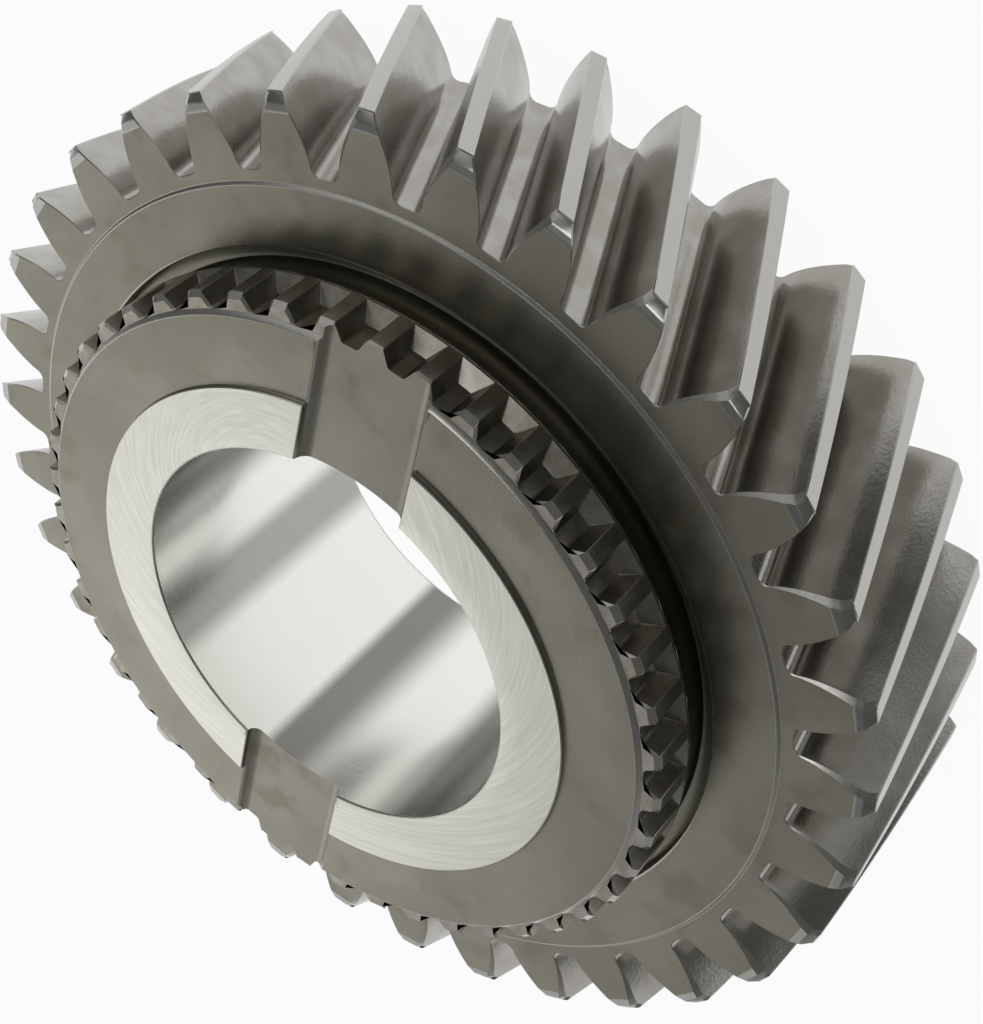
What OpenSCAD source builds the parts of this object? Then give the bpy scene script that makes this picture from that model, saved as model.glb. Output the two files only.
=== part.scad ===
// Helical transmission gear: a steel ring of left-hand teeth with a ring of
// straight clutch teeth on its hub and two shallow slots across the front face.
// It lies on its back face. The bore runs along Z and the slots along X.

/* [Gear teeth] */
// Number of helical teeth
tooth_count = 33; // [26:1:38]
// Diameter over the tips of the teeth
tip_d = 150; // [148:0.5:156]
// Height of a tooth above the pitch circle
addendum = 5.46; // [4.5:0.02:5.8]
// Depth of a tooth space below the pitch circle
dedendum = 5.04; // [4.4:0.02:5.4]
// Width of the teeth along the bore
tooth_w = 32.4; // [20:0.2:50]
// Helix angle on the pitch circle, left hand
helix_angle = 24; // [0:1:30]
// Pressure angle square to the tooth
pressure_angle = 17.5; // [15:0.5:20]
// Share of the pitch that the tooth fills on the pitch circle
tooth_share = 0.52; // [0.48:0.005:0.54]
// Radius of the fillet at the foot of each flank
root_fillet = 1.3; // [0.6:0.1:1.6]
// Chamfer on the long edge of each flank's end, at the tip
flank_edge = 0.7; // [0.2:0.05:1]
// Angle from the slots to the nearest tooth at its front end
tooth_phase = -4.75; // [-5:0.25:5]

/* [Tooth ends] */
// Turned chamfer at the front of the tips, along the radius
tip_chamfer = 1.1; // [0.4:0.1:1.6]
// The same chamfer, along the bore
tip_chamfer_h = 0.85; // [0.3:0.05:1.2]
// Shallow bevel between the front face and that chamfer, along the radius
face_bevel = 1.4; // [0.5:0.1:2]
// The same bevel, along the bore
face_bevel_h = 0.25; // [0.1:0.05:0.5]
// Edge break at the back of the tips
back_chamfer = 0.4; // [0.1:0.1:1]

/* [Web] */
// Diameter of the raised web, at its foot
web_d = 125.7; // [116:0.1:127]
// Height of the web above the front ends of the teeth
web_rise = 0.4; // [0.2:0.05:0.8]
// Width of the groove between the web and the neck
groove_w = 2.55; // [1:0.05:4]
// Depth of that groove below the web
groove_depth = 2.3; // [1:0.1:6]

/* [Clutch teeth] */
// Number of clutch teeth
clutch_count = 45; // [36:1:48]
// Diameter over the clutch teeth
clutch_tip_d = 105; // [100:0.5:108]
// Radial depth of the gaps between the clutch teeth
clutch_depth = 2.4; // [1.6:0.1:3]
// Length of the clutch collar along the bore
clutch_w = 7.7; // [5:0.1:12]
// Clearance between the tooth ring's front and the collar
clutch_gap = 3.6; // [2.4:0.1:8]
// Width of a gap at its floor
clutch_gap_w = 2.4; // [1.8:0.05:2.8]
// Slope of a clutch tooth's flank from the radius
clutch_flank_angle = 28.4; // [20:0.2:30]
// Chamfer at the front of the clutch tips
clutch_chamfer = 0.8; // [0.3:0.1:1.2]
// Strip of whole collar behind the gaps
clutch_strip = 0.6; // [0.4:0.1:1.5]
// Length over which a gap's floor runs out to that strip
clutch_runout = 1.6; // [0.8:0.1:2.5]
// Step in from the clutch tips to the neck behind them
neck_step = 1.25; // [0.6:0.05:2]
// Angle from the slots to the nearest gap
clutch_phase = 1; // [-4:0.5:4]

/* [Hub] */
// Diameter of the bore
bore_d = 60; // [46:0.5:70]
// Diameter of the raised thrust ring
thrust_d = 78.6; // [74:0.2:92]
// Height of the thrust ring above the hub face
thrust_rise = 0.7; // [0.3:0.05:1.5]
// Height of the hub face above the clutch teeth's ends
hub_rise = 0.6; // [0.3:0.05:1]
// Chamfer at the front of the bore
bore_front_chamfer = 0.3; // [0.1:0.05:1]
// Chamfer at the back of the bore
bore_back_chamfer = 0.6; // [0.1:0.05:1.5]
// Edge break on the collar's back and on the ring's rim
edge_break = 0.3; // [0.1:0.05:0.4]

/* [Slots] */
// Width of the two slots across the hub face
slot_w = 17; // [10:0.5:24]
// Depth of the slots below the hub face
slot_depth = 1.1; // [0.6:0.1:3]
// Radius in the corners of the slots' floor
slot_corner_r = 1.7; // [0.5:0.1:2.5]

/* [Hidden] */
$fn = 120;
steel = [0.49, 0.48, 0.44];
// How far a cutter runs past the faces and past the tips that it cuts
cut_over = 0.2;
tip_over = 0.6;
// Steps of the helix along a tooth, of a flank's curve and of the arc in each root fillet
helix_steps = 3;
flank_steps = 5;
fillet_steps = 3;

tip_r = tip_d / 2;
pitch_r = tip_r - addendum;
root_r = pitch_r - dedendum;
face_angle = atan(tan(pressure_angle) / cos(helix_angle));
base_r = pitch_r * cos(face_angle);
tooth_pitch = 360 / tooth_count;
// Turn of the teeth for each millimetre along the bore
twist_rate = tan(helix_angle) / pitch_r * 180 / PI;

land_z = tooth_w - face_bevel_h - tip_chamfer_h;
chamfer_r = tip_r - tip_chamfer;
bevel_r = chamfer_r - face_bevel;
web_r = web_d / 2;
web_z = tooth_w + web_rise;
clutch_tip_r = clutch_tip_d / 2;
clutch_root_r = clutch_tip_r - clutch_depth;
neck_r = clutch_tip_r - neck_step;
groove_r = neck_r + groove_w;
groove_z = web_z - groove_depth;
collar_z = tooth_w + clutch_gap;
clutch_z = collar_z + clutch_w;
hub_z = clutch_z + hub_rise;
thrust_z = hub_z + thrust_rise;
bore_r = bore_d / 2;
thrust_r = thrust_d / 2;
slot_z = hub_z - slot_depth;

// Involute function, in degrees
function inv(a) = tan(a) * 180 / PI - a;

// Half the angle that a space between two teeth spans at radius r
function space_half(r) =
    tooth_pitch / 2 * (1 - tooth_share)
    - inv(face_angle) + inv(acos(min(1, base_r / r)));

// The flank runs from past the tip down to where the root fillet starts
fillet_mid_r = root_r + root_fillet;
foot_r = sqrt(pow(fillet_mid_r, 2) - pow(root_fillet, 2));
fillet_mid_a = space_half(foot_r) - asin(root_fillet / fillet_mid_r);
flank_top_r = tip_r + tip_over;
flank_radii = [
    for (i = [0 : flank_steps]) flank_top_r - (flank_top_r - foot_r) * i / flank_steps
];

// Point of the root fillet, as radius and angle, at turn t from the flank to the floor
function fillet_point(t) =
    let (x = fillet_mid_r - root_fillet * sin(t),
         y = root_fillet * cos(t))
    [norm([x, y]), fillet_mid_a + atan2(y, x)];

// Section of one tooth space across the bore, as radius and angle
space_side = concat(
    [for (r = flank_radii) [r, space_half(r)]],
    [for (i = [1 : fillet_steps]) fillet_point(90 * i / fillet_steps)]
);
last = len(space_side) - 1;
space_section = concat(
    [for (p = space_side) [p[0], -p[1]]],
    [for (i = [last : -1 : 0]) space_side[i]]
);

// Height of the turned front surface at radius r
function front_z(r) = lookup(r, [
    [bevel_r, tooth_w], [chamfer_r, tooth_w - face_bevel_h], [tip_r, land_z]
]);

// The chamfer on a flank's end grows from nothing at the root to its width at the tip
function edge_at(r) = max(0, flank_edge * (r - foot_r) / (tip_r - foot_r));
function front_edge(p) = p[1] < 0 ? edge_at(p[0]) : 0;
function back_edge(p) = p[1] > 0 ? edge_at(p[0]) : 0;

// Point p of the section, carried along the helix to height z and widened along its arc
function on_helix(p, z, widen = 0) =
    let (a = p[1] + (land_z - z) * twist_rate + widen / p[0] * 180 / PI)
    [p[0] * cos(a), p[0] * sin(a), z];

// Height at which each point of the section leaves the plain helix, near either end
function back_start(p) = max(back_edge(p), cut_over);
function front_start(p) = front_z(p[0]) - max(front_edge(p), cut_over);
function back_widen(p) = back_edge(p) > 0 ? back_edge(p) + cut_over : 0;
function front_widen(p) = front_edge(p) > 0 ? -front_edge(p) - cut_over : 0;

space_rings = [
    [for (p = space_section) on_helix(p, -cut_over, back_widen(p))],
    [for (p = space_section) on_helix(p, back_start(p))],
    for (i = [1 : helix_steps - 1])
        [for (p = space_section) on_helix(p, land_z * i / helix_steps)],
    [for (p = space_section) on_helix(p, front_start(p))],
    [for (p = space_section) on_helix(p, tooth_w + cut_over, front_widen(p))]
];

// Solid through closed rings, listed upwards, with as many points each, clockwise from above
module loft(rings) {
    n = len(rings[0]);
    top = len(rings) - 1;
    polyhedron(
        points = [for (ring = rings, p = ring) p],
        faces = [
            [for (i = [n - 1 : -1 : 0]) i],
            for (k = [0 : top - 1], i = [0 : n - 1])
                let (j = (i + 1) % n, a = k * n + i, b = k * n + j)
                each [[a, b + n, a + n], [a, b, b + n]],
            [for (i = [0 : n - 1]) top * n + i]
        ]
    );
}

// The forging as it leaves the lathe: bore, hub, groove, web and tooth ring
module turned_blank() {
    rotate_extrude()
        polygon([
            [bore_r + bore_back_chamfer, 0],
            [tip_r - back_chamfer, 0],
            [tip_r, back_chamfer],
            [tip_r, land_z],
            [chamfer_r, tooth_w - face_bevel_h],
            [bevel_r, tooth_w],
            [web_r, tooth_w],
            [web_r - web_rise, web_z],
            [groove_r, web_z],
            [groove_r, groove_z],
            [neck_r, groove_z],
            [neck_r, collar_z],
            [clutch_tip_r - edge_break, collar_z],
            [clutch_tip_r, collar_z + edge_break],
            [clutch_tip_r, clutch_z - clutch_chamfer],
            [clutch_tip_r - clutch_chamfer, clutch_z],
            [clutch_root_r, clutch_z],
            [clutch_root_r - hub_rise, hub_z],
            [thrust_r, hub_z],
            [thrust_r, thrust_z - edge_break / 2],
            [thrust_r - edge_break / 2, thrust_z],
            [bore_r + bore_front_chamfer, thrust_z],
            [bore_r, thrust_z - bore_front_chamfer],
            [bore_r, bore_back_chamfer]
        ]);
}

// Helical spaces between the main teeth
module tooth_spaces() {
    for (i = [0 : tooth_count - 1])
        rotate([0, 0, tooth_phase + (i + 0.5) * tooth_pitch])
            loft(space_rings);
}

// Straight gaps between the clutch teeth, their floors sloping out at the back
module clutch_gaps() {
    over_r = clutch_tip_r + tip_over;
    floor_w = clutch_gap_w / 2;
    mouth_w = floor_w + (over_r - clutch_root_r) * tan(clutch_flank_angle);
    slope = clutch_depth / clutch_runout;
    cone_h = clutch_strip + 2 * clutch_runout;
    cone_r = clutch_tip_r + clutch_strip * slope;
    difference() {
        for (i = [0 : clutch_count - 1])
            rotate([0, 0, clutch_phase + i * 360 / clutch_count])
                translate([0, 0, collar_z])
                    linear_extrude(clutch_w + cut_over)
                        polygon([
                            [clutch_root_r, -floor_w],
                            [over_r, -mouth_w],
                            [over_r, mouth_w],
                            [clutch_root_r, floor_w]
                        ]);
        translate([0, 0, collar_z - cut_over])
            cylinder(
                h = cone_h,
                r1 = cone_r + cut_over * slope,
                r2 = cone_r - (cone_h - cut_over) * slope
            );
    }
}

// Two opposite slots, cut in one pass across the hub, with round floor corners
module slots() {
    top = thrust_z + cut_over - slot_z;
    rotate([90, 0, 90])
        translate([0, slot_z, -tip_r])
            linear_extrude(tip_d)
                union() {
                    translate([-slot_w / 2, slot_corner_r])
                        square([slot_w, max(top, slot_corner_r)]);
                    translate([slot_corner_r - slot_w / 2, 0])
                        square([slot_w - 2 * slot_corner_r, slot_corner_r + 0.1]);
                    for (side = [-1, 1])
                        translate([side * (slot_w / 2 - slot_corner_r), slot_corner_r])
                            circle(slot_corner_r, $fn = 32);
                }
}

module gear() {
    color(steel)
        difference() {
            turned_blank();
            tooth_spaces();
            clutch_gaps();
            slots();
        }
}

gear();
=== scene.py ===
from math import acos, asin, atan, atan2, cos, degrees, hypot, lcm, pi, radians, sin, sqrt, tan

import bmesh
import bpy
from mathutils import Matrix, Vector


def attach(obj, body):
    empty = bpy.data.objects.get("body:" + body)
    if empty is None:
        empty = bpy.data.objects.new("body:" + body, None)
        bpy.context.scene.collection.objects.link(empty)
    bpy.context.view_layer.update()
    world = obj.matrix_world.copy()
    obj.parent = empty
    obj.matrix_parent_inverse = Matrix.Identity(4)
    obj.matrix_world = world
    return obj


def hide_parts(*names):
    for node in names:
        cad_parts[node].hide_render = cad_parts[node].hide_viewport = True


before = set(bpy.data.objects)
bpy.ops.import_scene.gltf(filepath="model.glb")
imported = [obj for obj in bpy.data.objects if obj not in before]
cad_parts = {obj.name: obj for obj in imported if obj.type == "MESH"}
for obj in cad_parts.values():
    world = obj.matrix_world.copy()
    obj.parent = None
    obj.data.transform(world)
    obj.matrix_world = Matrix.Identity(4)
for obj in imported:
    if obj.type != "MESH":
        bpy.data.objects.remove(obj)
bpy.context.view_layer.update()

# The forging
# The gear is one steel forging, turned, hardened and blasted to a satin grey. Its skin is built as
# closed rings of points that run from the back face up the teeth, over the front and down the bore.
mm = 0.001
tooth_count = 33
clutch_count = 45
around = lcm(tooth_count, clutch_count)
round_steps = around // tooth_count
blasted_grey = (0.262, 0.252, 0.204)
blasted_pale = (0.302, 0.292, 0.238)
blasted_roughness, blasted_spread, blasted_patch = 0.27, 0.08, 4.0
grain_size, grain_depth = 0.45, 0.012
stain_brown = (0.215, 0.186, 0.142)
stain_share = 0.55
cloud_size, cloud_range = 17.0, (0.38, 0.66)
stain_size, stain_range = 7.5, (0.53, 0.70)
back_grey = (0.28, 0.27, 0.235)
back_pale = (0.32, 0.31, 0.27)
back_roughness, back_stain_share = 0.34, 0.5


class Value:
    """A number, colour or place that varies over a surface. Numbers take part in sums."""

    def __init__(self, nodes, socket):
        self.nodes, self.socket = nodes, socket

    def sum_of(self, operation, first, second):
        return self.nodes.add("Math", {"operation": operation}, {0: first, 1: second})

    def __add__(self, other):
        return self.sum_of("ADD", self, other)

    def __radd__(self, other):
        return self.sum_of("ADD", other, self)

    def __sub__(self, other):
        return self.sum_of("SUBTRACT", self, other)

    def __rsub__(self, other):
        return self.sum_of("SUBTRACT", other, self)

    def __mul__(self, other):
        return self.sum_of("MULTIPLY", self, other)

    def __rmul__(self, other):
        return self.sum_of("MULTIPLY", other, self)


class Nodes:
    """The shader nodes of a material or of the world."""

    def __init__(self, owner):
        owner.use_nodes = True
        self.tree = owner.node_tree

    def put(self, node, sockets):
        for name, value in sockets.items():
            if isinstance(value, Value):
                self.tree.links.new(value.socket, node.inputs[name])
            else:
                node.inputs[name].default_value = value

    def add(self, kind, settings={}, sockets={}, output=0):
        """Adds a node: its settings first, then the values or links of its sockets."""
        node = self.tree.nodes.new("ShaderNode" + kind)
        for name, value in settings.items():
            setattr(node, name, value)
        self.put(node, sockets)
        return node if output is None else Value(self, node.outputs[output])

    def rise(self, value, low, high):
        """0 below low and 1 above high, with a smooth rise between them."""
        return self.add("MapRange", {"interpolation_type": "SMOOTHSTEP"}, {
            "Value": value, "From Min": low, "From Max": high})

    def mix(self, share, first, second):
        """Blends two colours."""
        colour_a, colour_b, colour_out = 6, 7, 2
        return self.add("Mix", {"data_type": "RGBA"}, {
            0: share, colour_a: opaque(first), colour_b: opaque(second)}, colour_out)


def opaque(colour):
    return colour if isinstance(colour, Value) else (*colour, 1.0)


class Finish(Nodes):
    """One finish of the steel: a bare metal surface, and the nodes that mark it."""

    def __init__(self, name):
        self.material = bpy.data.materials.new(name)
        super().__init__(self.material)
        self.surface = self.tree.nodes["Principled BSDF"]
        self.put(self.surface, {"Metallic": 1.0})
        metres = self.add("TexCoord", output="Object")
        self.place = self.add("VectorMath", {"operation": "SCALE"}, {0: metres, "Scale": 1 / mm})

    def look(self, colour, roughness):
        self.put(self.surface, {"Base Color": opaque(colour), "Roughness": roughness})

    def stretch(self, place, factors):
        return self.add("VectorMath", {"operation": "MULTIPLY"}, {0: place, 1: factors})

    def noise(self, size, detail=2.0, place=None):
        """Soft random spots of about the given size in millimetres."""
        return self.add("TexNoise", {}, {
            "Vector": place or self.place, "Scale": 1 / size, "Detail": detail})

    def bump(self, height, depth):
        """Raises the surface by height times depth, in millimetres."""
        raised = self.add("Bump", {}, {"Height": height, "Distance": depth * mm})
        self.put(self.surface, {"Normal": raised})

    def stained(self, dark, pale, brown, share):
        """The steel's uneven tone with faint brown stains from its oil."""
        tone = self.rise(self.noise(cloud_size, detail=3.0), *cloud_range)
        stain = self.rise(self.noise(stain_size, detail=4.0), *stain_range)
        return self.mix(stain * share, self.mix(tone, dark, pale), brown)


blasted = Finish("blasted_steel")
blasted.look(
    blasted.stained(blasted_grey, blasted_pale, stain_brown, stain_share),
    blasted_roughness + blasted_spread * blasted.noise(blasted_patch, detail=3.0),
)
blasted.bump(blasted.noise(grain_size, detail=3.0), grain_depth)

plain_back = Finish("turned_back")
plain_back.look(plain_back.stained(back_grey, back_pale, stain_brown, back_stain_share), back_roughness)


class Skin:
    """Points in millimetres, and faces with the finish that each one has."""

    def __init__(self):
        self.points, self.faces, self.finishes = [], [], []

    def ring(self, points):
        start = len(self.points)
        self.points += points
        return list(range(start, len(self.points)))

    def circle(self, r, z):
        """A plain ring of the turned profile."""
        turns = [2 * pi * i / around for i in range(around)]
        return self.ring([(r * cos(a), r * sin(a), z) for a in turns])

    def face(self, corners, finish):
        self.faces.append(corners)
        self.finishes.append(finish)

    def band(self, low, high, finish):
        """Quads between two rings, with one finish or with one for each step."""
        count = len(low)
        for i in range(count):
            j = (i + 1) % count
            own = finish[i] if isinstance(finish, list) else finish
            self.face([low[i], low[j], high[j], high[i]], own)

    def turn(self, ring, profile):
        """Carries the skin on from a ring through (radius, height, finish) of each next one."""
        for r, z, finish in profile:
            following = self.circle(r, z)
            self.band(ring, following, finish)
            ring = following
        return ring


skin = Skin()

# The gear teeth
# 33 left-hand helical teeth, hobbed and ground in the forging's rim. Their ends are chamfered
# along the long edge of each flank, and the tips have a turned chamfer at the front.
tip_r, root_r, pitch_r = 75.0, 64.5, 69.54
tooth_w, land_z = 32.4, 31.3
helix_angle, pressure_angle = radians(24), radians(17.5)
tooth_share = 0.52
root_fillet = 1.3
tip_round = 0.22
tooth_phase = radians(-4.75)
chamfer_r, bevel_r, bevel_z = 73.9, 72.5, 32.15
back_chamfer = 0.4
long_edge, short_edge, fine_edge = 0.75, 0.26, 0.11
helix_steps, flank_steps, fillet_steps = 16, 13, 5
land_steps, root_points = 4, 2
first_level, front_room = 1.0, 2.4
tip_crowding = 0.9
round_drop, round_turn = 0.3, 0.8
tiny, tiny_turn = 1e-6, 1e-9
flank_dark, flank_pale = (0.34, 0.325, 0.295), (0.41, 0.40, 0.375)
flank_patch, flank_range = 5.0, (0.35, 0.7)
flank_roughness, flank_spread = 0.16, 0.10
peen_size, peen_stretch, peen_depth = 0.34, (1.0, 1.0, 0.5), 0.016
tip_colour, tip_roughness = (0.46, 0.455, 0.43), 0.24
lathe_size, lathe_stretch, lathe_depth = 0.25, (0.2, 0.2, 1.0), 0.006
edge_colour = (0.52, 0.51, 0.47)
edge_roughness, edge_spread, edge_patch = 0.2, 0.16, 0.8

face_angle = atan(tan(pressure_angle) / cos(helix_angle))
base_r = pitch_r * cos(face_angle)
tooth_pitch = 2 * pi / tooth_count
twist = tan(helix_angle) / pitch_r

flank_steel = Finish("peened_flank")
peen = flank_steel.noise(peen_size, place=flank_steel.stretch(flank_steel.place, peen_stretch))
flank_tone = flank_steel.rise(flank_steel.noise(flank_patch, detail=3.0), *flank_range)
flank_steel.look(flank_steel.mix(flank_tone, flank_dark, flank_pale), flank_roughness + flank_spread * peen)
flank_steel.bump(peen, peen_depth)

turned = Finish("turned_tip")
turned.look(tip_colour, tip_roughness)
turned.bump(turned.noise(lathe_size, place=turned.stretch(turned.place, lathe_stretch)), lathe_depth)

broken_edge = Finish("broken_edge")
broken_edge.look(edge_colour, edge_roughness + edge_spread * broken_edge.noise(edge_patch))


def involute(angle):
    return tan(angle) - angle


def tooth_half(r):
    """Half the angle that a tooth spans at radius r."""
    return tooth_pitch / 2 * tooth_share + involute(face_angle) - involute(acos(min(1, base_r / r)))


fillet_r = root_r + root_fillet
foot_r = sqrt(fillet_r ** 2 - root_fillet ** 2)
fillet_turn = tooth_half(foot_r) + asin(root_fillet / fillet_r)
land_from_r = tip_r - 0.5 * tip_round
edge_from_r = tip_r - 1.5 * tip_round


def front_height(r):
    """Height of the turned front of the teeth at radius r."""
    if r <= bevel_r:
        return tooth_w
    if r <= chamfer_r:
        return tooth_w - (tooth_w - bevel_z) * (r - bevel_r) / (chamfer_r - bevel_r)
    return bevel_z - (bevel_z - land_z) * (r - chamfer_r) / (tip_r - chamfer_r)


def back_height(r):
    return max(0.0, r - tip_r + back_chamfer)


def half_section():
    """One side of a tooth's section, from mid-space to the land, as (radius, angle)."""
    rows = [(root_r, tooth_pitch / 2), (root_r, (tooth_pitch / 2 + fillet_turn) / 2)]
    for i in range(fillet_steps + 1):
        t = pi / 2 * (1 - i / fillet_steps)
        x, y = fillet_r - root_fillet * sin(t), root_fillet * cos(t)
        rows.append((hypot(x, y), fillet_turn - atan2(y, x)))
    round_r = tip_r - tip_round
    shares = [(i / flank_steps) ** tip_crowding for i in range(1, flank_steps + 1)]
    levels = [foot_r + (round_r - foot_r) * share for share in shares]
    for mark in (bevel_r, chamfer_r):
        near = min(range(flank_steps - 1), key=lambda i: abs(levels[i] - mark))
        levels[near] = mark
    rows += [(r, tooth_half(r)) for r in levels]
    rows.append((tip_r - tip_round * round_drop, tooth_half(round_r) - tip_round * round_drop / tip_r))
    rows.append((tip_r, tooth_half(round_r) - tip_round * round_turn / tip_r))
    return rows


side = half_section()
side_land = len(side) - 1
land_turn = side[-1][1]
section = [(r, -a) for r, a in side]
section += [(tip_r, land_turn * (2 * i / land_steps - 1)) for i in range(1, land_steps)]
section += [(r, a) for r, a in reversed(side[1:])]
per_tooth = len(section)
flank_from = root_points + fillet_steps


def edge_width(index, back):
    """Width of the chamfer on a tooth's end at one point of its section."""
    r, a = section[index]
    rise = max(0.0, (r - foot_r) / (tip_r - foot_r))
    if r > land_from_r:
        return fine_edge
    widest = long_edge if (a > 0) != back else short_edge
    return fine_edge + (widest - fine_edge) * rise


def inward(index):
    """Direction into the tooth's steel at a point of its section, as (radial, along the arc)."""
    r, a = section[index]
    if r > land_from_r:
        return -1.0, 0.0
    if r >= foot_r - tiny:
        return 0.0, -1.0 if a > 0 else 1.0
    if abs(a) > fillet_turn - tiny_turn:
        return -1.0, 0.0
    turn = abs(a) - fillet_turn
    x, y = r * cos(turn) - fillet_r, r * sin(turn)
    reach = hypot(x, y)
    return x / reach, (y / reach) * (1.0 if a > 0 else -1.0)


def tooth_ring(height, sink=0.0, back=False):
    """The teeth's whole outline at a height for each radius. Sink is 0 on the flank and 1 on the end."""
    points = []
    for k in range(tooth_count):
        for index, (r, a) in enumerate(section):
            width = edge_width(index, back)
            radial, arc = inward(index)
            at_r = r + radial * width * sink
            z = height(at_r, width)
            turn = tooth_phase + k * tooth_pitch + a + arc * width * sink / r + (land_z - z) * twist
            points.append((at_r * cos(turn), at_r * sin(turn), z))
    return skin.ring(points)


def flank_finishes():
    """Finish of each step of the outline along the tooth."""
    finishes = []
    for index in range(per_tooth):
        r = min(section[index][0], section[(index + 1) % per_tooth][0])
        if r > land_from_r:
            finishes.append(turned)
        elif r > edge_from_r:
            finishes.append(broken_edge)
        else:
            finishes.append(flank_steel)
    return finishes * tooth_count


def end_face(outline, back):
    """Closes the teeth's end from the outline in to a ring on the root circle, and returns that ring."""
    height = back_height if back else front_height
    rim = []
    under_steps = round_steps - 2 * root_points

    def add(corners, finish):
        skin.face(corners[::-1] if back else corners, finish)

    bevels = [i for i in range(flank_from, side_land) if not back and section[i][0] >= bevel_r - tiny]
    flat_top = bevels[0] if bevels else side_land - 1
    for k in range(tooth_count):
        start = k * per_tooth
        rising = [outline[start + i] for i in range(root_points, side_land + 1)]
        falling = [outline[start + (per_tooth - i)] for i in range(root_points, side_land + 1)]
        land = [outline[start + i] for i in range(side_land + 1, per_tooth - side_land)]
        left, right = skin.points[rising[0]], skin.points[falling[0]]
        turn_0, turn_1 = atan2(left[1], left[0]), atan2(right[1], right[0])
        span = (turn_1 - turn_0) % (2 * pi)
        r = hypot(left[0], left[1])
        turns = [turn_0 + span * i / under_steps for i in range(1, under_steps)]
        under = skin.ring([(r * cos(turn), r * sin(turn), height(r)) for turn in turns])
        cut = flat_top - root_points
        add(rising[:cut + 1] + falling[cut::-1] + under[::-1], blasted)
        for i in range(cut, len(rising) - 1):
            add([rising[i], rising[i + 1], falling[i + 1], falling[i]], turned)
        add([rising[-1]] + land + [falling[-1]], turned)
        rim += [outline[start], outline[start + 1], rising[0]]
        rim += under + [falling[0], outline[start + per_tooth - 1]]
    return rim


outer_back = tooth_ring(lambda r, width: back_height(r), 1.0, True)
outer_back_up = tooth_ring(lambda r, width: back_height(r) + width, 0.0, True)
skin.band(outer_back, outer_back_up, broken_edge)
lower = outer_back_up
for step in range(1, helix_steps):
    level = first_level + (land_z - front_room) * step / helix_steps
    upper = tooth_ring(lambda r, width: level)
    skin.band(lower, upper, flank_finishes())
    lower = upper
outer_front_low = tooth_ring(lambda r, width: front_height(r) - width)
skin.band(lower, outer_front_low, flank_finishes())
outer_front = tooth_ring(lambda r, width: front_height(r), 1.0)
skin.band(outer_front_low, outer_front, broken_edge)
front_rim = end_face(outer_front, False)
back_rim = end_face(outer_back, True)

# The web and the neck
# A shallow raised web inside the teeth and a groove behind the clutch teeth, turned on a lathe.
# The groove lets the tool run out, and the neck under the collar is its inner wall. The profile
# gives the radius, the height and the finish up to each turned corner, from the teeth inwards.
web_profile = [
    (62.95, 32.4, blasted),
    (62.85, 32.43, broken_edge),
    (62.52, 32.76, broken_edge),
    (62.38, 32.8, broken_edge),
    (58.4, 32.8, blasted),
    (54.1, 32.8, blasted),
    (53.85, 32.72, broken_edge),
    (53.8, 32.5, blasted),
    (53.8, 31.2, blasted),
    (53.6, 30.7, blasted),
    (53.1, 30.5, blasted),
    (52.0, 30.5, blasted),
    (51.5, 30.7, blasted),
    (51.25, 31.2, blasted),
    (51.25, 35.5, blasted),
    (51.35, 35.85, blasted),
    (51.7, 36.0, blasted),
    (52.2, 36.0, blasted),
    (52.45, 36.12, broken_edge),
]
web_ring = skin.turn(front_rim, web_profile)

# The clutch teeth
# 45 straight teeth on a collar of the hub, shaped in the same steel. The cutter's run-out slopes up
# to a thin whole strip at the back, and the front ends are chamfered for the sleeve to slide on.
clutch_tip_r, clutch_root_r = 52.5, 50.1
strip_low_z, strip_z, floor_z, clutch_z = 36.3, 36.6, 38.2, 43.7
strip_draw = 0.02
clutch_chamfer, flank_chamfer = 0.8, 0.38
floor_dip, floor_end_dip = 0.1, 0.06
gap_floor_half, flank_slope = 1.2, tan(radians(28.4))
gap_fillet, fillet_spread = 0.25, 0.9
clutch_edge, edge_turn, crown_shift = 0.14, 0.6, 0.3
clutch_phase = radians(1.0)
clutch_pitch = 2 * pi / clutch_count
shaped_dark, shaped_pale = (0.29, 0.27, 0.225), (0.37, 0.355, 0.31)
shaped_patch, shaped_range = 2.4, (0.35, 0.7)
shaped_roughness, shaped_spread, shaped_spot = 0.24, 0.10, 0.7
stroke_size, stroke_stretch, stroke_depth = 0.3, (1.0, 1.0, 0.2), 0.008

shaped = Finish("shaped_clutch_steel")
shaped_tone = shaped.rise(shaped.noise(shaped_patch, detail=3.0), *shaped_range)
shaped.look(
    shaped.mix(shaped_tone, shaped_dark, shaped_pale),
    shaped_roughness + shaped_spread * shaped.noise(shaped_spot),
)
shaped.bump(shaped.noise(stroke_size, place=shaped.stretch(shaped.place, stroke_stretch)), stroke_depth)


def gap_half(r):
    """Half the width of a gap, in millimetres, at radius r."""
    return gap_floor_half + (r - clutch_root_r) * flank_slope


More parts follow.
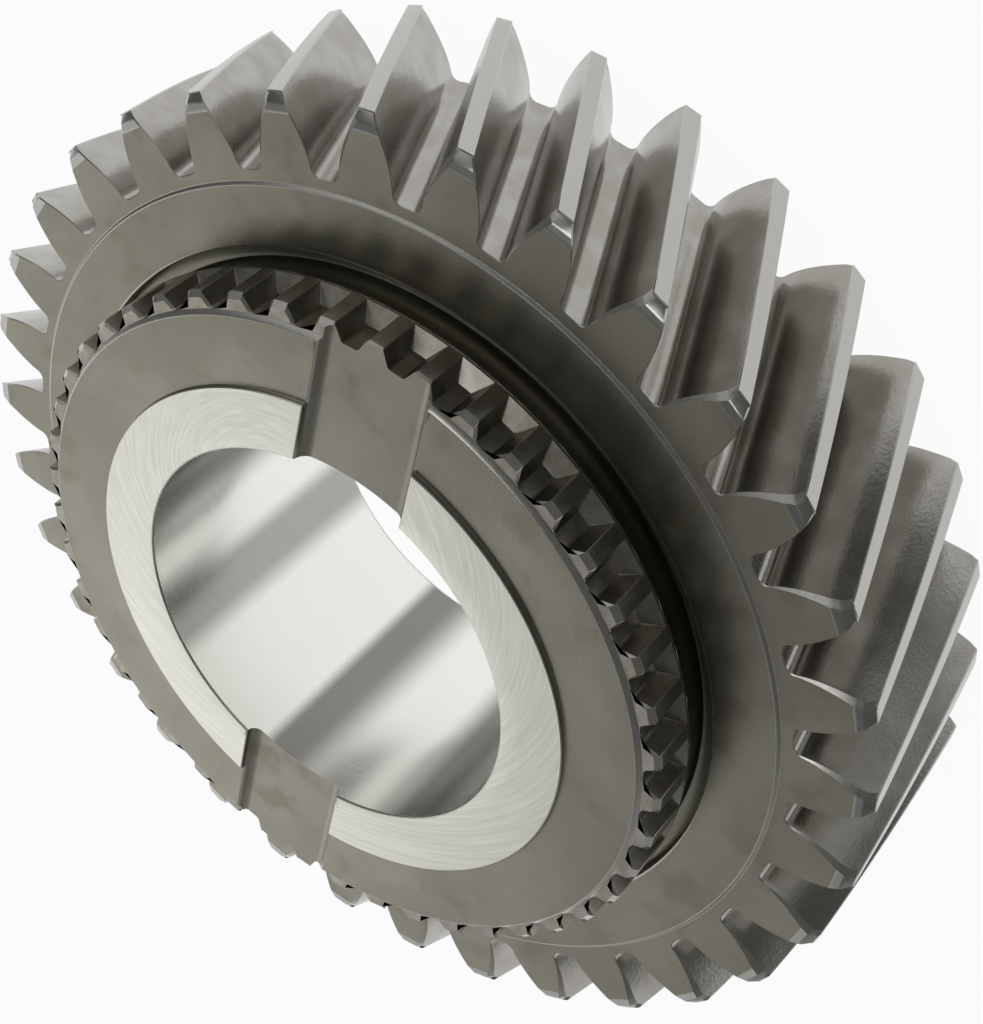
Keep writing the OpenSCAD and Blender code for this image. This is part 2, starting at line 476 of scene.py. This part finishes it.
def clutch_ring(floor_r, top_r, floor_h, flank_h, top_h, shift=0.0):
    """Outline of the clutch teeth with its own radius and height for the floors, flanks and tops."""
    half_turn = clutch_pitch / 2
    edge_r = max(floor_r, top_r - clutch_edge)
    fillet = min(gap_fillet, (edge_r - floor_r) / 2)
    side_rows = [
        (floor_r, gap_half(floor_r) - fillet * fillet_spread, floor_h),
        (floor_r + fillet, gap_half(floor_r + fillet) + shift, flank_h),
        (edge_r, gap_half(edge_r) + shift, top_h if shift else flank_h),
        (top_r, gap_half(top_r) + shift + clutch_edge * edge_turn, top_h),
        (top_r, (gap_half(top_r) + top_r * half_turn) / 2 + crown_shift, top_h),
    ]
    points = []
    for k in range(clutch_count):
        middle = clutch_phase + k * clutch_pitch
        rows = [(r, -w, z) for r, w, z in reversed(side_rows)]
        rows += [(floor_r, 0.0, floor_h)] + side_rows
        for r, w, z in rows:
            turn = middle + w / r
            points.append((r * cos(turn), r * sin(turn), z))
    return skin.ring(points)


clutch_step = [shaped, broken_edge] + [shaped] * 6 + [broken_edge] + [shaped] * 2
strip_low = clutch_ring(clutch_tip_r, clutch_tip_r, strip_low_z, strip_low_z, strip_low_z)
skin.band(web_ring, strip_low, broken_edge)
strip_top = clutch_ring(clutch_tip_r - strip_draw, clutch_tip_r, strip_z, strip_z, strip_z)
skin.band(strip_low, strip_top, shaped)
runout = clutch_ring(clutch_root_r, clutch_tip_r, floor_z, floor_z, floor_z)
skin.band(strip_top, runout, clutch_step * clutch_count)
flank_z = clutch_z - flank_chamfer
clutch_front = clutch_ring(
    clutch_root_r, clutch_tip_r, clutch_z - floor_dip, flank_z, clutch_z - clutch_chamfer
)
skin.band(runout, clutch_front, clutch_step * clutch_count)
clutch_end = clutch_ring(
    clutch_root_r, clutch_tip_r - clutch_chamfer, clutch_z - floor_end_dip, clutch_z, clutch_z, flank_chamfer
)
skin.band(clutch_front, clutch_end, broken_edge)

# The hub, the thrust ring and the bore
# The hub face is blasted like the web. The thrust ring and the bore are ground bright, because a
# washer runs on the one and the shaft in the other. The bore's four dark bands are painted reflections
# of its room: dark bands painted into its colour that start, are full, fade and end at an angle in degrees.
hub_z, thrust_z = 44.3, 45.0
thrust_r, bore_r = 39.3, 30.0
ground_dark, ground_pale = (0.69, 0.685, 0.605), (0.79, 0.785, 0.71)
ground_range = (0.35, 0.7)
ground_roughness, ground_spread, ground_depth = 0.24, 0.14, 0.004
ring_arcs, ring_lines = (2.2, 2.2, 0.0), 4.5
cup_arcs, cup_lines, cup_weight = (3.0, 3.0, 0.0), 2.6, 1.5
cup_middle = (18.0, 9.0, 0.0)
honed_bright, painted_reflection_dark = (0.88, 0.875, 0.84), (0.20, 0.195, 0.18)
honed_roughness, honed_spread = 0.18, 0.10
hone_size, hone_stretch, hone_depth = 0.35, (0.08, 0.08, 1.0), 0.003
hone_drag, quarter_turn = 0.5, 0.25
# Painted reflection: four dark bands around the bore, given in degrees, stand in for the room mirrored in it.
painted_reflection_bands = [
    (-130, -112, -94, -76, 0.95),
    (-66, -58, -50, -41, 0.7),
    (-13, -8, -2, 12, 0.92),
    (27, 41, 56, 72, 1.0),
]

ground = Finish("ground_thrust_ring")


def grinding_marks(centre, arcs, lines):
    """Fine arcs around a centre, which the grinding wheel left."""
    flat = ground.stretch(ground.place, (1, 1, 0))
    offset = ground.add("VectorMath", {"operation": "ADD"}, {0: flat, 1: centre})
    reach = ground.add("VectorMath", {"operation": "LENGTH"}, {0: offset}, "Value")
    direction = ground.add("VectorMath", {"operation": "NORMALIZE"}, {0: offset})
    outwards = ground.add("CombineXYZ", {}, {"Z": reach * lines})
    marks = ground.add("VectorMath", {"operation": "MULTIPLY_ADD"}, {0: direction, 1: arcs, 2: outwards})
    return ground.noise(1.0, detail=3.0, place=marks)


ring_scratch = grinding_marks((0, 0, 0), ring_arcs, ring_lines)
cup_scratch = grinding_marks(cup_middle, cup_arcs, cup_lines)
ground.look(
    ground.mix(ground.rise(cup_scratch, *ground_range), ground_dark, ground_pale),
    ground_roughness + ground_spread * ring_scratch,
)
ground.bump(ring_scratch + cup_scratch * cup_weight, ground_depth)

honed = Finish("honed_bore")
hone_marks = honed.noise(hone_size, detail=3.0, place=honed.stretch(honed.place, hone_stretch))
bore_x, bore_y = [honed.add("SeparateXYZ", {}, {0: honed.place}, axis) for axis in "XY"]
bore_turn = honed.add("Math", {"operation": "ARCTAN2"}, {0: bore_y, 1: bore_x}) * degrees(1)
painted_reflection_share = 0.0
# Each band darkens the bore's colour towards the dark grey, a painted reflection of the room.
for start, full, fading, end, share in painted_reflection_bands:
    painted_reflection_share = painted_reflection_share + share * honed.rise(bore_turn, start, full) * (1 - honed.rise(bore_turn, fading, end))
honed.look(honed.mix(painted_reflection_share, honed_bright, painted_reflection_dark), honed_roughness + honed_spread * hone_marks)
honed.put(honed.surface, {"Anisotropic": hone_drag, "Anisotropic Rotation": quarter_turn})
honed.bump(hone_marks, hone_depth)

hub_profile = [
    (50.08, 43.7, shaped),
    (49.98, 43.8, broken_edge),
    (49.55, 44.23, broken_edge),
    (49.4, 44.3, broken_edge),
    (45.0, 44.3, blasted),
    (39.75, 44.3, blasted),
    (39.42, 44.36, blasted),
    (39.3, 44.5, blasted),
    (39.3, 44.85, broken_edge),
    (39.15, 45.0, broken_edge),
    (36.0, 45.0, ground),
    (33.0, 45.0, ground),
    (30.3, 45.0, ground),
    (30.1, 44.9, broken_edge),
    (30.0, 44.7, broken_edge),
    (30.0, 38.0, honed),
    (30.0, 30.0, honed),
    (30.0, 22.0, honed),
    (30.0, 14.0, honed),
    (30.0, 7.0, honed),
    (30.0, 0.65, honed),
    (30.1, 0.4, broken_edge),
    (30.55, 0.0, broken_edge),
    (38.0, 0.0, plain_back),
    (47.0, 0.0, plain_back),
    (56.0, 0.0, plain_back),
]
back_ring = skin.turn(clutch_end, hub_profile)
skin.band(back_ring, back_rim, plain_back)


def build_mesh(name, body):
    """Makes one closed mesh of a skin, with a material for each finish."""
    joined_within = 1e-7
    mesh = bpy.data.meshes.new(name)
    mesh.from_pydata([Vector(p) * mm for p in body.points], [], body.faces)
    for finish in dict.fromkeys(body.finishes):
        mesh.materials.append(finish.material)
    order = list(mesh.materials)
    mesh.polygons.foreach_set("material_index", [order.index(f.material) for f in body.finishes])
    work = bmesh.new()
    work.from_mesh(mesh)
    bmesh.ops.remove_doubles(work, verts=work.verts, dist=joined_within)
    bmesh.ops.dissolve_degenerate(work, edges=work.edges, dist=joined_within)
    work.to_mesh(mesh)
    work.free()
    mesh.update()
    return mesh


gear_mesh = build_mesh("gear", skin)
gear = bpy.data.objects.new("gear_steel", gear_mesh)
bpy.context.scene.collection.objects.link(gear)

# The slots
# Two opposite slots for the lugs of a thrust washer, milled in one pass across the hub. Their floor
# has round corners, and their upper edges are broken by hand.
slot_half, slot_z, slot_corner = 8.5, 43.2, 1.7
slot_reach, slot_top_z = 60.0, 46.5
corner_steps = 8
slot_break = 0.14
vee_under, vee_over = 0.2, 0.4
cut_in, ring_overrun, hub_start = 5, 1, 0.05
sharp_edge = radians(28)
milled_dark, milled_pale = (0.255, 0.245, 0.205), (0.295, 0.285, 0.24)
milled_brown, milled_stain_share = (0.20, 0.165, 0.12), 0.6
milled_roughness = 0.34
mill_size, mill_stretch, mill_depth = 0.5, (0.12, 1.0, 1.0), 0.006

milled = Finish("milled_slot")
milled.look(milled.stained(milled_dark, milled_pale, milled_brown, milled_stain_share), milled_roughness)
mill_marks = milled.noise(mill_size, detail=3.0, place=milled.stretch(milled.place, mill_stretch))
milled.bump(mill_marks, mill_depth)


def slot_prism(outline, x0, x1, name):
    """A bar along X with the given (y, z) outline."""
    count = len(outline)
    points = [Vector((x, y, z)) * mm for x in (x0, x1) for y, z in outline]
    faces = [list(range(count))[::-1], list(range(count, 2 * count))]
    faces += [[i, (i + 1) % count, (i + 1) % count + count, i + count] for i in range(count)]
    mesh = bpy.data.meshes.new(name)
    mesh.from_pydata(points, [], faces)
    work = bmesh.new()
    work.from_mesh(mesh)
    bmesh.ops.recalc_face_normals(work, faces=work.faces)
    work.to_mesh(mesh)
    work.free()
    bar = bpy.data.objects.new(name, mesh)
    bpy.context.scene.collection.objects.link(bar)
    return bar


corner = [
    (slot_half - slot_corner * (1 - sin(t)), slot_z + slot_corner * (1 - cos(t)))
    for t in [pi / 2 * i / corner_steps for i in range(corner_steps + 1)]
]
slot_side = corner + [(slot_half, slot_top_z)]
slot_outline = slot_side + [(-y, z) for y, z in reversed(slot_side)]


def edge_outline(z):
    """Outline of a shallow vee that breaks both upper edges of a slot at height z."""
    corner_left = max(0.0, slot_z + slot_corner - z)
    edge = slot_half - slot_corner + sqrt(slot_corner ** 2 - corner_left ** 2)
    low = (edge - vee_under, z - slot_break - vee_under)
    high = (edge + slot_break + vee_over, z + vee_over)
    return [low, high, (-high[0], high[1]), (-low[0], low[1])]


cutters = []
for way in (-1, 1):
    for outline, inner, outer, finish in (
        (slot_outline, bore_r - cut_in, slot_reach, milled),
        (edge_outline(hub_z), sqrt(thrust_r ** 2 - slot_half ** 2) + hub_start, slot_reach, broken_edge),
        (edge_outline(thrust_z), bore_r - cut_in, thrust_r + ring_overrun, broken_edge),
    ):
        cutters.append((slot_prism(outline, way * inner, way * outer, "cutter"), finish))

gear_mesh.materials.append(milled.material)
for bar, finish in cutters:
    bar.data.materials.append(finish.material)
    cut = gear.modifiers.new(bar.name, "BOOLEAN")
    cut.object, cut.operation = bar, "DIFFERENCE"
    cut.solver, cut.material_mode = "MANIFOLD", "TRANSFER"
finished = bpy.data.meshes.new_from_object(gear.evaluated_get(bpy.context.evaluated_depsgraph_get()))
gear.modifiers.clear()
gear.data = finished
for bar, finish in cutters:
    bpy.data.objects.remove(bar)
finished.shade_smooth()
finished.set_sharp_from_angle(angle=sharp_edge)
weighted = gear.modifiers.new("edges", "WEIGHTED_NORMAL")
weighted.keep_sharp = True
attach(gear, "root")
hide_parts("gear")

# The floor and the light
# A white sheet lies under the gear. The room is dim, with broad soft lights far off and a small lamp
# above. Where the steel mirrors it, the sheet in front of the gear is painted grey: painted shade that stands
# in for the dim room, as beside a dark card.
sheet_half = 2.0
paper_glow = 0.95
paper_white, painted_shade_grey = (0.8, 0.8, 0.8, 1.0), (0.24, 0.24, 0.24, 1.0)
painted_shade_from, painted_shade_to = -0.10, -0.14
lamp_at = Vector((-0.170, -0.119, 0.773))
lamp_power, lamp_size = 1.0, 0.4
room_light = 0.12
soft_lights = [
    {"towards": (0.698, -0.629, 0.342), "full": 14, "edge": 34, "strength": 0.88},
    {"towards": (0.910, -0.080, 0.407), "full": 8, "edge": 30, "strength": 0.5},
    {"towards": (-0.96, 0.257, 0.05), "full": 6, "edge": 30, "strength": 0.35},
    {"towards": (-0.62, -0.62, 0.48), "full": 8, "edge": 30, "strength": 0.42},
    {"towards": (0.863, 0.498, 0.087), "full": 10, "edge": 40, "strength": 0.2},
]

floor_mesh = bpy.data.meshes.new("floor")
sheet_corners = [(-1, -1, 0), (1, -1, 0), (1, 1, 0), (-1, 1, 0)]
floor_mesh.from_pydata([Vector(corner) * sheet_half for corner in sheet_corners], [], [[0, 1, 2, 3]])
floor = bpy.data.objects.new("floor", floor_mesh)
bpy.context.scene.collection.objects.link(floor)
paper = bpy.data.materials.new("white_paper")
floor_mesh.materials.append(paper)
sheet = Nodes(paper)
sheet.tree.nodes.clear()
across = sheet.add("SeparateXYZ", {}, {0: sheet.add("TexCoord", output="Object")}, "X")
# Painted shade: in front of the gear the steel's reflections see the sheet grey, while the camera sees it
# white.
near = sheet.rise(across, painted_shade_to, painted_shade_from)
looked_at = sheet.add("LightPath", output="Is Camera Ray")
mirrored = sheet.add("LightPath", output="Is Glossy Ray")
through = sheet.add("LightPath", output="Is Transmission Ray")
shown = sheet.rise(looked_at + (mirrored + through) * near, 0.0, 1.0)
white = sheet.add("BsdfDiffuse", {}, {"Color": paper_white})
# This grey paper is the painted shade that the steel mirrors in front of the gear.
grey = sheet.add("BsdfDiffuse", {}, {"Color": painted_shade_grey})
shade = sheet.add("MixShader", {}, {0: near, 1: grey, 2: white})
glow = sheet.add("Emission", {}, {"Color": (1.0, 1.0, 1.0, 1.0), "Strength": 1.0})
lit = sheet.add("MixShader", {}, {0: shown * paper_glow, 1: shade, 2: glow})
sheet.add("OutputMaterial", {}, {"Surface": lit}, None)

lamp_data = bpy.data.lights.new("top_lamp", "AREA")
lamp_data.energy, lamp_data.size = lamp_power, lamp_size
lamp = bpy.data.objects.new("top_lamp", lamp_data)
bpy.context.scene.collection.objects.link(lamp)
lamp.location = lamp_at
lamp.rotation_euler = lamp_at.to_track_quat("Z", "Y").to_euler()
lamp.visible_camera = False

bpy.context.scene.world = bpy.data.worlds.new("room")
room = Nodes(bpy.context.scene.world)
room.tree.nodes.clear()
looking = room.add("TexCoord", output="Generated")
brightness = room_light
for panel in soft_lights:
    towards = Vector(panel["towards"]).normalized()
    facing = room.add("VectorMath", {"operation": "DOT_PRODUCT"}, {0: looking, 1: towards}, "Value")
    spread = room.rise(facing, cos(radians(panel["edge"])), cos(radians(panel["full"])))
    brightness = brightness + panel["strength"] * spread
light = room.add("Background", {}, {"Color": (1.0, 1.0, 1.0, 1.0), "Strength": brightness})
room.add("OutputWorld", {}, {"Surface": light}, None)
bpy.context.scene.view_settings.view_transform = "Standard"

# The camera
# It looks down on the gear's front as the photograph does, rolled so that the slots run up the
# picture. The photograph is a crop, so its middle is shifted from the lens's axis.
camera_data = bpy.data.cameras.new("camera")
camera_data.sensor_width, camera_data.lens = 36.0, 64.44
camera_data.shift_x, camera_data.shift_y = 0.1715, -0.1330
camera = bpy.data.objects.new("camera", camera_data)
bpy.context.scene.collection.objects.link(camera)
camera_at = Vector((-194.475, 81.015, 188.317)) * mm
camera_aim = Vector((-23.428, -19.567, 25.0)) * mm
camera_roll = radians(127.41)
look = (camera_aim - camera_at).to_track_quat("-Z", "Y").to_matrix().to_4x4()
camera.matrix_world = Matrix.Translation(camera_at) @ look @ Matrix.Rotation(-camera_roll, 4, "Z")
bpy.context.scene.camera = camera
